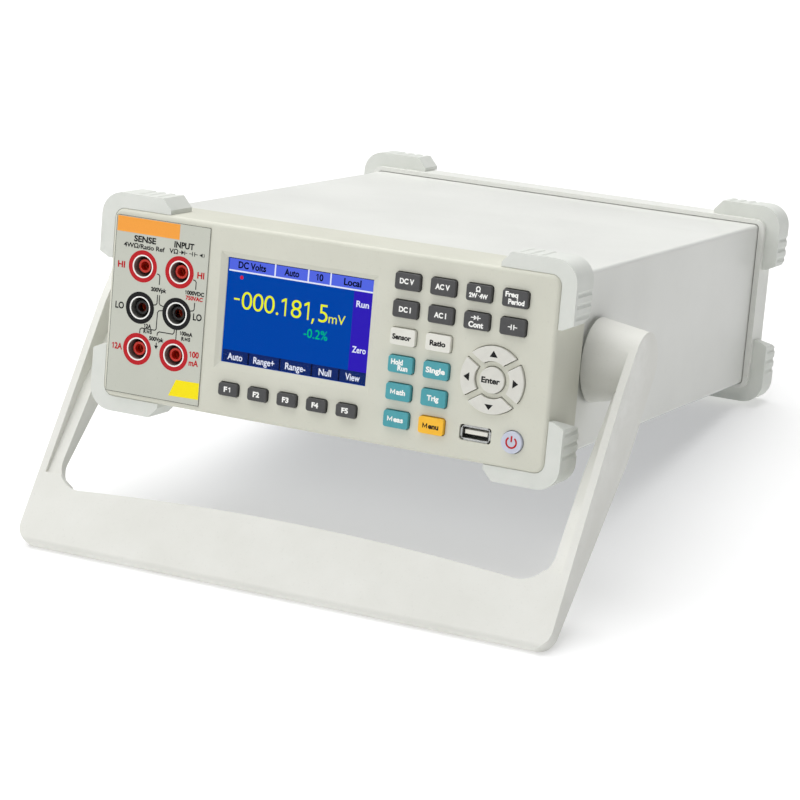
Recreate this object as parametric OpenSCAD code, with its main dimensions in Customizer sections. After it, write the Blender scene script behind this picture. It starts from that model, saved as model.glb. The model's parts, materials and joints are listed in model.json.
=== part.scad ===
// Bench multimeter standing tilted back on its handle and its rear corner bumpers.
// Case frame: X across, Y from the panel face to the back, Z up from the bezel's lower edge.
// Row frame: the case frame tilted back, with the floor at Z = 0 and the origin under the middle.

/* [Case] */
// Width of the front and rear bezels
bezel_w = 220; // [219:1:222]
// Height of the front and rear bezels
bezel_h = 87; // [87:1:88]
// Depth of the front bezel, from its face to its back edge
bezel_d = 32; // [30:1:33]
// Where the rear bezel starts
rear_y = 270; // [260:1:290]
// Depth of the rear bezel
rear_d = 16; // [16:1:20]
// Thickness of the panel face
face_t = 3; // [3:0.1:3.2]
// Thickness of the sheet metal
sheet = 1; // [0.8:0.1:1]
// Tilt of the case when it stands on its handle
tilt = 11.2; // [10:0.1:12.5]

/* [Corner bumpers] */
// How far the bumpers stand out from the bezels
bumper_out = 7; // [6:0.5:7.5]
// Depth of the front bumpers
front_bumper_d = 19; // [16:1:22]
// Depth of the rear bumpers
rear_bumper_d = 15; // [13:1:16]

/* [Handle] */
// Distance from the panel face to the pivot axis
pivot_y = 55; // [54:0.5:58]
// Half of the handle's width
handle_half_w = 132.3; // [131:0.1:135]
// Distance from the pivot to the centre of the grip's lower edge
grip_reach = 137; // [134:1:140]
// Radius of the pivot pins
pin_r = 4; // [3.5:0.1:4.5]

/* [Terminals] */
// Bore radius of the socket contacts
socket_r = 2; // [2:0.01:2.1]
// Distance between neighbouring sockets
socket_pitch = 19.05; // [19:0.05:19.1]

/* [Keys] */
// Width of a function key
key_w = 11.9; // [11.5:0.1:12.6]
// Height of a function key
key_h = 7.4; // [7:0.1:8.2]
// How far a key stands out of the panel
key_rise = 2; // [1.5:0.1:2.5]
// Clearance around each key
key_gap = 0.25; // [0.2:0.05:0.3]

/* [Hidden] */
KEY_NAMES = [
  "dc_volts_key", "ac_volts_key", "ohms_key", "frequency_key",
  "dc_current_key", "ac_current_key", "continuity_key", "capacitance_key",
  "sensor_key", "ratio_key", "hold_key", "single_key",
  "math_key", "trigger_key", "measure_key", "menu_key"
];
SOFT_KEY_NAMES = ["soft_key_1", "soft_key_2", "soft_key_3", "soft_key_4", "soft_key_5"];
NAV_NAMES = ["nav_right", "nav_up", "nav_left", "nav_down"];
$fn = 96;
cut = 0.5;                      // how far a cutting tool runs past a surface
long = 400;                     // longer than anything in the case
mid_z = bezel_h / 2;

// Case shell
bezel_r = 5;
cavity_w = bezel_w - 5.8;
cavity_h = bezel_h - 4.6;
cavity_r = 2;
cover_w = cavity_w - 0.6;
cover_h = cavity_h - 0.6;
cover_front_y = bezel_d - 6;
cover_back_y = rear_y + 4;
tray_front_y = 12;
tray_back_y = rear_y + 8.8;
tray_w = cover_w - 2 * sheet - 0.4;
tray_z = mid_z - cover_h / 2;
tray_t = 1.2;
tray_lip = 12;
floor_z = tray_z + tray_t;      // upper face of the tray
lip_y = rear_y + 11;            // front face of the rear bezel's inner lip
panel_t = 1.5;
panel_y = lip_y - 0.5;          // rear face of the rear panel
case_screw_x = 102.5;
case_screw_z = 35.5;            // above and below the middle

// Bumpers
bumper_r = 10.5;
bumper_leg_x = 81.3;            // inner end of the leg along the top or bottom
front_leg_z = 20;               // end of a bumper's leg down the side, from the middle
rear_leg_z = 18.2;
bumper_step = 2;                // thickness at the end of the long leg
front_bumper_y = 1;
rear_bumper_y = 273.5;
bumper_back_y = rear_bumper_y + rear_bumper_d;
groove_pitch = 5;
groove_r = 1.6;
groove_depth = 0.6;
groove_y = 2.5;                 // where the grooves start behind a bumper's front face

// Stand: the case rests on the rear bumpers' lower back edge and the grip's rounded lower edge
case_z = sin(tilt) * bumper_back_y + cos(tilt) * bumper_out;
pivot_row_y0 = pivot_y * cos(tilt) + mid_z * sin(tilt);
pivot_row_z = case_z - pivot_y * sin(tilt) + mid_z * cos(tilt);
grip_edge_r = 3.5;
grip_edge_w = -4;               // centre of the grip's lower edge, forward of the arm's axis
grip_reach_r = norm([grip_reach, grip_edge_w]);
handle_angle = acos((pivot_row_z - grip_edge_r) / grip_reach_r) + atan2(grip_edge_w, grip_reach);
row_front_y = pivot_row_y0 - grip_reach * sin(handle_angle) + grip_edge_w * cos(handle_angle)
  - grip_edge_r;
row_back_y = bumper_back_y * cos(tilt) + (bezel_h + bumper_out) * sin(tilt);
case_y = -(row_front_y + row_back_y) / 2;
pivot_row_y = pivot_row_y0 + case_y;

// Handle, in its own frame: X across, Y towards the back of the arm, -Z along the arm
arm_t = 3.6;
arm_x = handle_half_w - arm_t;  // inner face of the side walls
hub_r = 14.7;                   // rounded top of the arm's side wall
hub_w = -2.4;                   // and its centre, forward of the pivot
drum_r = 19.2;                  // inner end of the drums
drum_x = bezel_w / 2 - 1.4;     // inner face of the drums
drum_h = handle_half_w - drum_x;
drum_tilt = atan(-hub_w / drum_h); // leans each drum towards the arm's rounded top
drum_more = 3;                  // trimmed off both ends of a leaning drum
drum_taper = (drum_r - hub_r) / drum_h;
arm_front_w = -17.2;
arm_back_w = 14;
grip_top_s = 112;               // upper edge of the grip at its ends, along the arm
grip_bow = 4.6;                 // how much the upper edge rises in the middle
inner_x = 123;                  // inner edge of the arms' webs
inner_r = 14;
grip_corner_r = 9;
finger_pitch = 9.4;
finger_count = 8;

// Hubs
hub_plate_t = 1.5;
hub_plate_r = 16.5;
pin_end_x = 122;
pin_gap = 0.05;

// Terminals
socket_x = -74.1;               // right-hand column
socket_z = 43;                  // middle row
well_r = 4.7;
jack_r = 5.6;
jack_rim_r = 6.8;
jack_rim_t = 0.9;
sleeve_r = 3.1;
sleeve_y = 1.5;                 // front of the sleeve inside the well
sleeve_bore_r = 2.1;
contact_r = 2.45;
jack_back_y = 34;
overlay_t = 0.4;
overlay_x = [-108.2, -59.5];
overlay_z = [2.5, 84.2];

// Display
display_x = -14.5;
display_z = 48.5;
display_w = 72.4;
display_h = 47.6;
recess_w = 77.7;
recess_h = 53.4;
recess_z = 47.9;
recess_d = 1.5;
window_w = 78;
window_h = 53.6;
window_t = 1;
window_y = 2;

// Keypad
key_r = 1.2;
key_x = 39.3;
key_z = 74.35;
key_pitch_x = 17;
key_pitch_z = 12.25;
soft_x = -44.45;
soft_z = 13;
soft_pitch = 14.8;
soft_w = 9.5;
soft_h = 5.8;
nav_x = 82.85;
nav_z = 37.6;
nav_r = 14.95;
nav_inner_r = 8.3;
nav_gap = 3;
nav_slope = 32.4;               // angle of the gaps from the horizontal
nav_cross_z = 2.26;             // where the upper gaps meet, above the ring's centre
nav_press_r = (nav_r + nav_inner_r) / 2;
enter_r = 5.8;
power_x = 94.6;
power_z = 12.1;
power_r = 4.9;
power_rise = 1.5;
nav_rise = 1.5;
stop_y = face_t + 0.3;          // front of the flange that keeps a key in
stop_t = 1.1;
stop_rim = 0.8;
stem_y = 5;                     // back end of a key's stem
mat_y = 6.2;
mat_t = 1;
board_y = 8.2;
board_t = 1.6;

// USB opening
usb_x = 76.8;
usb_z = 12.6;
usb_w = 15;
usb_h = 7;
usb_inner_w = 12.5;
usb_inner_h = 4.9;
usb_y = 0.6;                    // front of the port's flange
usb_d = 14;
usb_wall = 0.35;

// Inside
main_y = [38, 188];
main_half_x = 95;
main_z = floor_z + 8.3;
standoff_in = 6;
coil_z = 29;
core_x = -55;
core_y = 228;

// Rear
inlet_x = 75;
inlet_z = 30;
rocker_x = 75;
rocker_z = 66;
rocker_swing = 7.5;             // half of the rocker's swing
rocker_y = panel_y - 3;         // hinge axis of the rocker
port_z = 30;
serial_x = 15;
usb_b_x = -25;

// Placement

module in_case() translate([0, case_y, case_z]) rotate([-tilt, 0, 0]) children();

// Local XY is the panel face, local +Z leaves the panel; the child starts at case Y = back
module panel(x = 0, z = 0, back = 0) translate([x, back, z]) rotate([90, 0, 0]) children();

// A plate from case Y = front to Y = back, cut to the 2D child
module plate(front, back, x = 0, z = 0) panel(x, z, back) linear_extrude(back - front) children();

module mirrored() {
  children();
  mirror([1, 0, 0]) children();
}

module along_x(from, to) translate([from, 0, 0]) rotate([0, 90, 0])
  linear_extrude(to - from) rotate(90) children();

module rounded(w, h, r) {
  square([w - 2 * r, h], center = true);
  square([w, h - 2 * r], center = true);
  for (x = [-1, 1], y = [-1, 1]) translate([x * (w / 2 - r), y * (h / 2 - r)]) circle(r);
}

// Positions

function socket_at(i) = [socket_x - socket_pitch * (i % 2), socket_z + socket_pitch * (1 - floor(i / 2))];
function key_col(i) = i < 8 ? i % 4 : i % 2;
function key_row(i) = i < 8 ? floor(i / 4) : 2 + floor((i - 8) / 2);
function key_at(i) = [key_x + key_pitch_x * key_col(i), key_z - key_pitch_z * key_row(i)];

module at_sockets(rows) for (row = rows, col = [0, 1])
  translate([socket_at(2 * row + col)[0], 0, socket_at(2 * row + col)[1]]) children();

// Front panel

module bezel_ring(depth) panel(0, mid_z, depth) linear_extrude(depth) rounded(bezel_w, bezel_h, bezel_r);

function nav_inset(grow) = (nav_gap / 2 - grow) / cos(nav_slope);

// A segment of the ring as if it pointed right; the odd ones are those above and below the centre
module nav_segment(i, grow = 0) intersection() {
  difference() {
    circle(nav_r + grow);
    circle(nav_inner_r - grow);
  }
  if (i % 2 == 0) translate([(nav_inset(grow) - nav_cross_z) / tan(nav_slope), 0])
    polygon([[0, 0], [30, 30 * tan(nav_slope)], [30, -30 * tan(nav_slope)]]);
  else translate([nav_inset(grow) + nav_cross_z, 0])
    polygon([[0, 0], [30 * tan(nav_slope), 30], [30 * tan(nav_slope), -30]]);
}

module key_openings() {
  for (i = [0 : len(KEY_NAMES) - 1]) translate(key_at(i))
    rounded(key_w + 2 * key_gap, key_h + 2 * key_gap, key_r + key_gap);
  for (i = [0 : len(SOFT_KEY_NAMES) - 1]) translate([soft_x + soft_pitch * i, soft_z])
    rounded(soft_w + 2 * key_gap, soft_h + 2 * key_gap, key_r + key_gap);
  translate([nav_x, nav_z]) circle(enter_r + key_gap);
  for (i = [0 : 3]) translate([nav_x, nav_z]) rotate(90 * i) nav_segment(i, key_gap);
  translate([power_x, power_z]) circle(power_r + key_gap);
  translate([usb_x, usb_z]) rounded(usb_w, usb_h, 1.3);
}

module front_bezel() color("#CFCFC4") in_case() difference() {
  bezel_ring(bezel_d);
  plate(face_t, bezel_d + cut, 0, mid_z) rounded(cavity_w, cavity_h, cavity_r);
  plate(-cut, face_t + cut) key_openings();
  hull() {
    plate(-cut / 2, 0, display_x, recess_z) square([recess_w, recess_h], center = true);
    plate(recess_d, recess_d + 0.01, display_x, display_z) square([display_w, display_h], center = true);
  }
  plate(recess_d - cut, face_t + cut, display_x, display_z) square([display_w, display_h], center = true);
  plate(window_y, face_t + cut, display_x, display_z)
    square([window_w + 0.4, window_h + 0.4], center = true);
  at_sockets([0 : 2]) plate(-cut, 1) circle(jack_rim_r + 0.2);
  at_sockets([0 : 2]) plate(-cut, face_t + cut) circle(jack_r + 0.2);
}

module terminal_overlay() color("#C4C6BA") in_case() difference() {
  plate(-overlay_t, 0, (overlay_x[0] + overlay_x[1]) / 2, (overlay_z[0] + overlay_z[1]) / 2)
    rounded(overlay_x[1] - overlay_x[0], overlay_z[1] - overlay_z[0], 1);
  at_sockets([0 : 2]) plate(-1, 1) circle(well_r + 0.5);
}

module display_window() color("#202838") in_case()
  plate(window_y, window_y + window_t, display_x, display_z) square([window_w, window_h], center = true);

module lcd_panel() color("#0046AA") in_case()
  plate(face_t + 0.05, board_y - 0.3, display_x, display_z) square([window_w + 1, window_h + 1], center = true);

module panel_sheet(x_from, x_to, z_from, z_to) translate([x_from, z_from]) square([x_to - x_from, z_to - z_from]);

module keypad_mat() color("#8C9094") in_case() difference() {
  plate(mat_y, mat_y + mat_t) union() {
    panel_sheet(31.5, 106, 4, 83);
    panel_sheet(-52, 32, 6, 19.5);
  }
  plate(mat_y - cut, mat_y + mat_t + cut, usb_x, usb_z) square([usb_w, usb_h], center = true);
}

module front_board() color("#1F6B3A") in_case() {
  difference() {
    plate(board_y, board_y + board_t) panel_sheet(-105, 106, 4, 83);
    at_sockets([0 : 2]) plate(board_y - cut, board_y + board_t + cut) circle(jack_r + 0.8);
    plate(board_y - cut, board_y + board_t + cut, usb_x, usb_z) square([usb_w, usb_h], center = true);
  }
  plate(mat_y + mat_t + 0.1, board_y) switch_domes();
}

module switch_domes() {
  for (i = [0 : len(KEY_NAMES) - 1]) translate(key_at(i)) circle(2.5);
  for (i = [0 : len(SOFT_KEY_NAMES) - 1]) translate([soft_x + soft_pitch * i, soft_z]) circle(2.5);
  for (i = [0 : 3]) translate([nav_x, nav_z]) rotate(90 * i) translate([nav_press_r, 0]) circle(2);
  translate([nav_x, nav_z]) circle(2);
  translate([power_x, power_z]) circle(2);
}

// Terminals

module jack_housing() difference() {
  union() {
    plate(0.05, 0.05 + jack_rim_t) circle(jack_rim_r);
    plate(-overlay_t, 0.1) circle(well_r + 0.4);
    plate(0.1, jack_back_y) circle(jack_r);
  }
  plate(-1, 22) difference() {
    circle(well_r);
    circle(sleeve_r);
  }
  plate(-1, sleeve_y) circle(sleeve_r + 0.5);
  plate(0, 6) circle(sleeve_bore_r);
  plate(5.5, jack_back_y + cut) circle(contact_r);
}

module red_jacks() color("#C02020") in_case() at_sockets([0, 2]) jack_housing();

module black_jacks() color("#26282B") in_case() at_sockets([1]) jack_housing();

module jack_contacts() color("#C9A24B") in_case() at_sockets([0 : 2]) difference() {
  plate(6, jack_back_y + 6) circle(contact_r - 0.03);
  plate(6 - cut, 28) circle(socket_r);
}

module jack_nuts() color("#B8BCC0") in_case() at_sockets([0 : 2]) difference() {
  plate(face_t + 0.05, 6) circle(8.2, $fn = 6);
  plate(face_t - cut, 6 + cut) circle(jack_r + 0.05);
}

module usb_shell() color("#C4C8CC") in_case() difference() {
  union() {
    plate(usb_y, usb_y + usb_d, usb_x, usb_z)
      rounded(usb_inner_w + 2 * usb_wall, usb_inner_h + 2 * usb_wall, 0.6);
    plate(usb_y, usb_y + 0.4, usb_x, usb_z) {
      square([11.4, usb_h - 0.3], center = true);
      square([usb_w - 0.6, 3.6], center = true);
    }
  }
  plate(usb_y - cut, usb_d, usb_x, usb_z) square([usb_inner_w, usb_inner_h], center = true);
}

module usb_tongue() color("#F0F0EC") in_case()
  plate(1.4, usb_d, usb_x, usb_z + 0.3) square([10.7, 1.9], center = true);

// Keys

// A key from its top at -rise to its stem, with a wider flange behind the panel
module plunger(x, z, rise) {
  plate(-rise, stop_y + stop_t, x, z) children(0);
  plate(stop_y, stop_y + stop_t, x, z) children(1);
}

module key_cap(i, tint) color(tint) in_case() {
  plunger(key_at(i)[0], key_at(i)[1], key_rise) {
    rounded(key_w, key_h, key_r);
    rounded(key_w + 2 * stop_rim, key_h + 2 * stop_rim, key_r);
  }
  plate(stop_y, stem_y, key_at(i)[0], key_at(i)[1]) circle(2.5);
}

function key_tint(i) = i < 8 ? "#48484A" : i < 10 ? "#E4E4DC" : i < 15 ? "#46A5A5" : "#FFBE28";

module soft_key(i) color("#48484A") in_case() {
  plunger(soft_x + soft_pitch * i, soft_z, key_rise) {
    rounded(soft_w, soft_h, key_r);
    rounded(soft_w + 2 * stop_rim, soft_h + 2 * stop_rim, key_r);
  }
  plate(stop_y, stem_y, soft_x + soft_pitch * i, soft_z) circle(2.5);
}

module nav_key(i) color("#E4E4DC") in_case() translate([nav_x, 0, nav_z]) rotate([0, -90 * i, 0]) {
  plunger(0, 0, nav_rise) {
    nav_segment(i);
    nav_segment(i, stop_rim);
  }
  plate(stop_y, stem_y, nav_press_r, 0) circle(2);
}

module round_key(x, z, r, rise) {
  plunger(x, z, rise) {
    circle(r);
    circle(r + stop_rim);
  }
  plate(stop_y, stem_y, x, z) circle(2);
}

module enter_key() color("#E4E4DC") in_case() round_key(nav_x, nav_z, enter_r, nav_rise);

module power_button() color("#C3C8D7") in_case() round_key(power_x, power_z, power_r, power_rise);

// Case

module top_cover() color("#ECECE9") in_case() difference() {
  plate(cover_front_y, cover_back_y, 0, mid_z) rounded(cover_w, cover_h, cavity_r);
  plate(0, long, 0, mid_z) rounded(cover_w - 2 * sheet, cover_h - 2 * sheet, cavity_r - sheet);
  plate(0, long, 0, tray_z) square([cover_w - 2 * sheet, 8], center = true);
  translate([0, pivot_y, mid_z]) along_x(-long / 2, long / 2) circle(pin_r + 0.2);
}

module vent_slot(length, w) {
  square([length - w, w], center = true);
  for (end = [-1, 1]) translate([end * (length - w) / 2, 0]) circle(w / 2);
}

module at_standoffs() for (x = [-1, 1], y = [main_y[0] + standoff_in, main_y[1] - standoff_in])
  translate([x * (main_half_x - standoff_in), y, 0]) children();

module base_tray() color("#B9BDBF") in_case() difference() {
  union() {
    translate([-tray_w / 2, tray_front_y, tray_z]) cube([tray_w, tray_back_y - tray_front_y, tray_t]);
    mirrored() translate([tray_w / 2 - tray_t, cover_front_y, tray_z])
      cube([tray_t, cover_back_y - cover_front_y, tray_lip]);
    at_standoffs() translate([0, 0, tray_z]) cylinder(r = 3.2, h = main_z - tray_z);
  }
  at_standoffs() translate([0, 0, tray_z - cut]) cylinder(r = 1.55, h = long);
  for (x = [-60 : 20 : 60], y = [90, 130]) translate([x, y, tray_z - cut])
    linear_extrude(2 * tray_t) rotate(90) vent_slot(26, 3);
}

module main_board() color("#1F6B3A") in_case() difference() {
  translate([-main_half_x, main_y[0], main_z]) cube([2 * main_half_x, main_y[1] - main_y[0], board_t]);
  at_standoffs() translate([0, 0, main_z - cut]) cylinder(r = 1.6, h = 3);
}

module core_block(x, y, z, h) translate([core_x - x / 2, core_y - y / 2, floor_z + z]) cube([x, y, h]);

module transformer_core() color("#6C6E72") in_case() difference() {
  core_block(60, 24, 0, 50);
  for (side = [-1, 1]) translate([side * 15, 0, 0]) core_block(10, 25, 10, 30);
}

module transformer_coil() color("#A8642C") in_case() difference() {
  core_block(39, 42, 10.5, coil_z);
  core_block(20.4, 24.4, 10, coil_z + 2);
}

module shield_can() color("#C8CCD0") in_case() difference() {
  translate([-80, 60, main_z + board_t]) cube([60, 50, 18]);
  translate([-79.2, 60.8, main_z + board_t - cut]) cube([58.4, 48.4, 17.7]);
}

// Back

module rear_bezel() color("#CFCFC4") in_case() difference() {
  translate([0, rear_y, 0]) bezel_ring(rear_d);
  plate(rear_y - cut, lip_y, 0, mid_z) rounded(cavity_w, cavity_h, cavity_r);
  plate(lip_y - cut, rear_y + rear_d + cut, 0, mid_z) rounded(200, 72, 8);
  at_case_screws() plate(lip_y - cut, rear_y + rear_d + cut) circle(1.6);
  at_case_screws() plate(rear_y + rear_d - 2, rear_y + rear_d + cut) circle(3.1);
}

module at_case_screws() for (x = [-1, 1], z = [-1, 1])
  translate([x * case_screw_x, 0, mid_z + z * case_screw_z]) children();

module rear_panel() color("#D9D9D2") in_case() difference() {
  plate(panel_y - panel_t, panel_y, 0, mid_z) square([cover_w - 2.4, cover_h - 2.4], center = true);
  plate(0, long, inlet_x, inlet_z) square([28, 20.4], center = true);
  plate(0, long, rocker_x, rocker_z) square([13.4, 19.4], center = true);
  plate(0, long, usb_b_x, port_z) square([12.4, 11.4], center = true);
  plate(0, long, serial_x, port_z) square([19, 10.4], center = true);
  for (i = [0 : 7]) plate(0, long, -90 + 6 * i, mid_z) rotate(90) vent_slot(40, 3);
  at_case_screws() plate(0, long) circle(1.6);
}

module mains_inlet() color("#1C1C1E") in_case() difference() {
  union() {
    plate(panel_y, panel_y + 2.5, inlet_x, inlet_z) rounded(48, 27, 2);
    plate(panel_y - 19, panel_y + 1, inlet_x, inlet_z) square([27.4, 19.8], center = true);
  }
  plate(panel_y - 15, panel_y + 3, inlet_x, inlet_z) rounded(24.4, 16.4, 1);
  at_inlet_pins() plate(panel_y - 20, panel_y - 10) square([2.05, 4.05], center = true);
}

module at_inlet_pins() for (i = [-1 : 1]) translate([inlet_x + 7 * i, 0, inlet_z + (i == 0 ? 2 : -2)]) children();

module inlet_pins() color("#C9CCCE") in_case() at_inlet_pins()
  plate(panel_y - 24, panel_y - 2) square([2, 4], center = true);

module rocker_frame() color("#1C1C1E") in_case() difference() {
  union() {
    plate(panel_y, panel_y + 1.8, rocker_x, rocker_z) rounded(15, 21, 1);
    plate(panel_y - 12, panel_y + 1, rocker_x, rocker_z) square([13, 19], center = true);
  }
  plate(panel_y - 10, panel_y + 2, rocker_x, rocker_z) square([11.2, 17.2], center = true);
  translate([rocker_x, rocker_y, rocker_z]) along_x(-6, 6) circle(1.05);
}

module mains_rocker() color("#2A2A2C") in_case()
  translate([rocker_x, rocker_y, rocker_z]) rotate([rocker_swing, 0, 0]) {
    along_x(-5.4, 5.4) polygon([[-4, -5], [0, -7.6], [3.2, -7.8], [2.2, 0], [3.2, 7.8], [0, 7.6], [-4, 5]]);
    along_x(-5.95, 5.95) circle(1);
  }

module usb_b_socket() color("#C4C8CC") in_case() difference() {
  plate(panel_y - 16, panel_y + 1, usb_b_x, port_z) square([12, 11], center = true);
  plate(panel_y - 10, panel_y + 2, usb_b_x, port_z) difference() {
    square([8.8, 8], center = true);
    square([5.6, 3.2], center = true);
  }
}

module serial_socket() color("#C4C8CC") in_case() difference() {
  union() {
    plate(panel_y, panel_y + 1, serial_x, port_z) rounded(31, 12.5, 1);
    plate(panel_y - 10, panel_y + 5, serial_x, port_z) rounded(17, 8.5, 2);
    for (side = [-1, 1]) plate(panel_y, panel_y + 5, serial_x + 12.5 * side, port_z) circle(2.9, $fn = 6);
  }
  for (i = [0 : 4]) plate(panel_y, panel_y + 6, serial_x - 5.6 + 2.8 * i, port_z + 1.4) circle(0.6);
  for (i = [0 : 3]) plate(panel_y, panel_y + 6, serial_x - 4.2 + 2.8 * i, port_z - 1.4) circle(0.6);
  for (side = [-1, 1]) plate(panel_y, panel_y + 6, serial_x + 12.5 * side, port_z) circle(1.5);
}

// Bumpers

module bumper_outline(leg_z) difference() {
  intersection() {
    rounded(bezel_w + 2 * bumper_out, bezel_h + 2 * bumper_out, bumper_r);
    polygon([
      [bumper_leg_x, leg_z], [bumper_leg_x, mid_z + bumper_step],
      [bumper_leg_x + 4.5, mid_z + bumper_out], [bumper_leg_x + 4.5, long], [long, long],
      [long, leg_z + 2.5], [bezel_w / 2 + bumper_out, leg_z + 2.5],
      [bezel_w / 2 + 2, leg_z]
    ]);
  }
  rounded(bezel_w, bezel_h, bezel_r);
}

// Upper right bumper from Y = 0 to Y = depth, with ribbed legs and a slanting lower end
module bumper(depth, leg_z) difference() {
  plate(0, depth) bumper_outline(leg_z);
  for (i = [0 : 2]) plate(groove_y, depth + cut, bezel_w / 2 + bumper_out + groove_r - groove_depth,
    leg_z + 5.5 + i * groove_pitch) circle(groove_r);
  for (i = [0 : 2]) plate(groove_y, depth + cut, bumper_leg_x + 8 + i * groove_pitch,
    mid_z + bumper_out + groove_r - groove_depth) circle(groove_r);
  along_x(bezel_w / 2 - 5, bezel_w / 2 + 2 * bumper_out)
    polygon([[4, leg_z - 1], [4, leg_z], [depth + 1, leg_z + 5], [depth + 1, leg_z - 1]]);
}

module four_bumpers(depth, leg_z) translate([0, 0, mid_z]) mirrored() {
  bumper(depth, leg_z);
  mirror([0, 0, 1]) bumper(depth, leg_z);
}

module front_bumpers() color("#D2D5CF") in_case() translate([0, front_bumper_y, 0])
  four_bumpers(front_bumper_d, front_leg_z);

module rear_bumpers() color("#D2D5CF") in_case() translate([0, rear_bumper_y, 0])
  four_bumpers(rear_bumper_d, rear_leg_z);

// Hubs and handle

module at_pivot() in_case() translate([0, pivot_y, mid_z]) mirrored() children();

module hub_plates() color("#B4B6B0") at_pivot() along_x(cover_w / 2, cover_w / 2 + hub_plate_t) difference() {
  circle(hub_plate_r);
  circle(pin_r + 0.02);
}

module pivot_pins() color("#B8BCC0") at_pivot() {
  along_x(cover_w / 2 - sheet - 2.5, pin_end_x) circle(pin_r);
  along_x(cover_w / 2 - sheet - 2.5, cover_w / 2 - sheet) circle(7.5);
}

function arm_back(s) = arm_back_w - max(0, s - 40) * 0.152;

// Side view of an arm: Y is across the arm, -Z runs from the pivot to the grip
module arm_side() {
  translate([hub_w, 0]) circle(hub_r);
  translate([grip_edge_w, -grip_reach]) circle(grip_edge_r);
  polygon([
    [hub_w - hub_r, 0], [arm_front_w, -20], [grip_edge_w - grip_edge_r, -grip_reach],
    [grip_edge_w + grip_edge_r, -grip_reach], [arm_back(grip_reach - 5), 5 - grip_reach],
    [arm_back_w, -40], [arm_back_w - 0.5, -20], [hub_w + hub_r, 0]
  ]);
}

// Side view of the arms' webs
module web_side() polygon([[-4, -12], [-5.3, -30], [-8.5, -58], [-8.5, -114], [-4, -114], [-3.8, -85], [-0.6, -65], [4, -12]]);

// Side view of the grip, hollow at the back
module grip_side() difference() {
  intersection() {
    arm_side();
    translate([-50, -150]) square([100, 150 - 106]);
  }
  polygon([[-6.6, -114.5], [-4.8, -131], [20, -131], [20, -114.5]]);
}

function grip_top(x) = grip_bow * (1 - pow(x / (inner_x - inner_r), 2)) - grip_top_s;

// Front view of the webs and the grip: X is across, Y is up the arm
module handle_front() difference() {
  translate([0, -grip_reach - grip_edge_r]) intersection() {
    translate([0, 100]) rounded(2 * handle_half_w, 200, grip_corner_r);
    translate([-long / 2, 0]) square([long, 165]);
  }
  difference() {
    translate([-inner_x, grip_top(0) - 20]) square([2 * inner_x, 200]);
    polygon(concat(
      [for (x = [-inner_x + inner_r : 4 : inner_x - inner_r]) [x, grip_top(x)]],
      [[inner_x - inner_r, -grip_top_s], [inner_x + 1, -grip_top_s], [inner_x + 1, -160]],
      [[-inner_x - 1, -160], [-inner_x - 1, -grip_top_s]]
    ));
    for (side = [-1, 1]) translate([side * inner_x, -grip_top_s]) difference() {
      square(2 * inner_r, center = true);
      translate([-side * inner_r, inner_r]) circle(inner_r);
      translate([-inner_r - 1, inner_r]) square([2 * inner_r + 2, inner_r]);
      translate([side > 0 ? -3 * inner_r : inner_r, 0]) square([2 * inner_r, 2 * inner_r]);
    }
  }
}

// Tapers from the case to the arm's rounded top
module drum() intersection() {
  along_x(drum_x, handle_half_w) square(3 * drum_r, center = true);
  translate([drum_x, 0, 0]) rotate([0, 0, -drum_tilt]) rotate([0, 90, 0]) translate([0, 0, -drum_more])
    cylinder(r1 = drum_r + drum_more * drum_taper, r2 = hub_r - drum_more * drum_taper,
      h = drum_h + 2 * drum_more);
}

module handle_body() {
  intersection() {
    translate([0, 50, 0]) rotate([90, 0, 0]) linear_extrude(100) handle_front();
    union() {
      along_x(-handle_half_w + 1, handle_half_w - 1) web_side();
      along_x(-handle_half_w, handle_half_w) grip_side();
      mirrored() along_x(arm_x, handle_half_w) arm_side();
    }
  }
  for (i = [-4 : 4]) along_x(26 * i - 1, 26 * i + 1) grip_rib();
  mirrored() drum();
}

module grip_rib() intersection() {
  arm_side();
  translate([-10, -132]) square([12, 18]);
}

module handle() color("#E2E2DC") translate([0, pivot_row_y, pivot_row_z]) rotate([-handle_angle, 0, 0])
  difference() {
    handle_body();
    mirrored() along_x(drum_x - cut, pin_end_x + 0.5) circle(pin_r + pin_gap);
    for (i = [0 : finger_count - 1])
      translate([finger_pitch * (i - (finger_count - 1) / 2), 0, -grip_reach - grip_edge_r - 0.4])
        rotate([-60, 0, 0]) cylinder(r = 1.4, h = 40);
  }

// Fasteners

module case_screws() color("#B8BCC0") in_case() at_case_screws() {
  plate(rear_y + rear_d - 2, rear_y + rear_d - 0.2) circle(2.9);
  plate(panel_y - 8, rear_y + rear_d - 1) circle(1.5);
}

module board_screws() color("#B8BCC0") in_case() at_standoffs() {
  translate([0, 0, main_z + board_t]) cylinder(r = 2.9, h = 1.8);
  translate([0, 0, main_z - 6]) cylinder(r = 1.5, h = 7 + board_t);
}

front_bezel();
terminal_overlay();
display_window();
lcd_panel();
keypad_mat();
front_board();
red_jacks();
black_jacks();
jack_contacts();
jack_nuts();
usb_shell();
usb_tongue();
for (i = [0 : len(KEY_NAMES) - 1]) key_cap(i, key_tint(i));
for (i = [0 : len(SOFT_KEY_NAMES) - 1]) soft_key(i);
for (i = [0 : len(NAV_NAMES) - 1]) nav_key(i);
enter_key();
power_button();
top_cover();
base_tray();
main_board();
transformer_core();
transformer_coil();
shield_can();
rear_bezel();
rear_panel();
mains_inlet();
inlet_pins();
rocker_frame();
mains_rocker();
usb_b_socket();
serial_socket();
front_bumpers();
rear_bumpers();
hub_plates();
pivot_pins();
handle();
case_screws();
board_screws();
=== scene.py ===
import json
import math
import re

import bmesh
import bpy
from mathutils import Matrix, Vector


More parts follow.
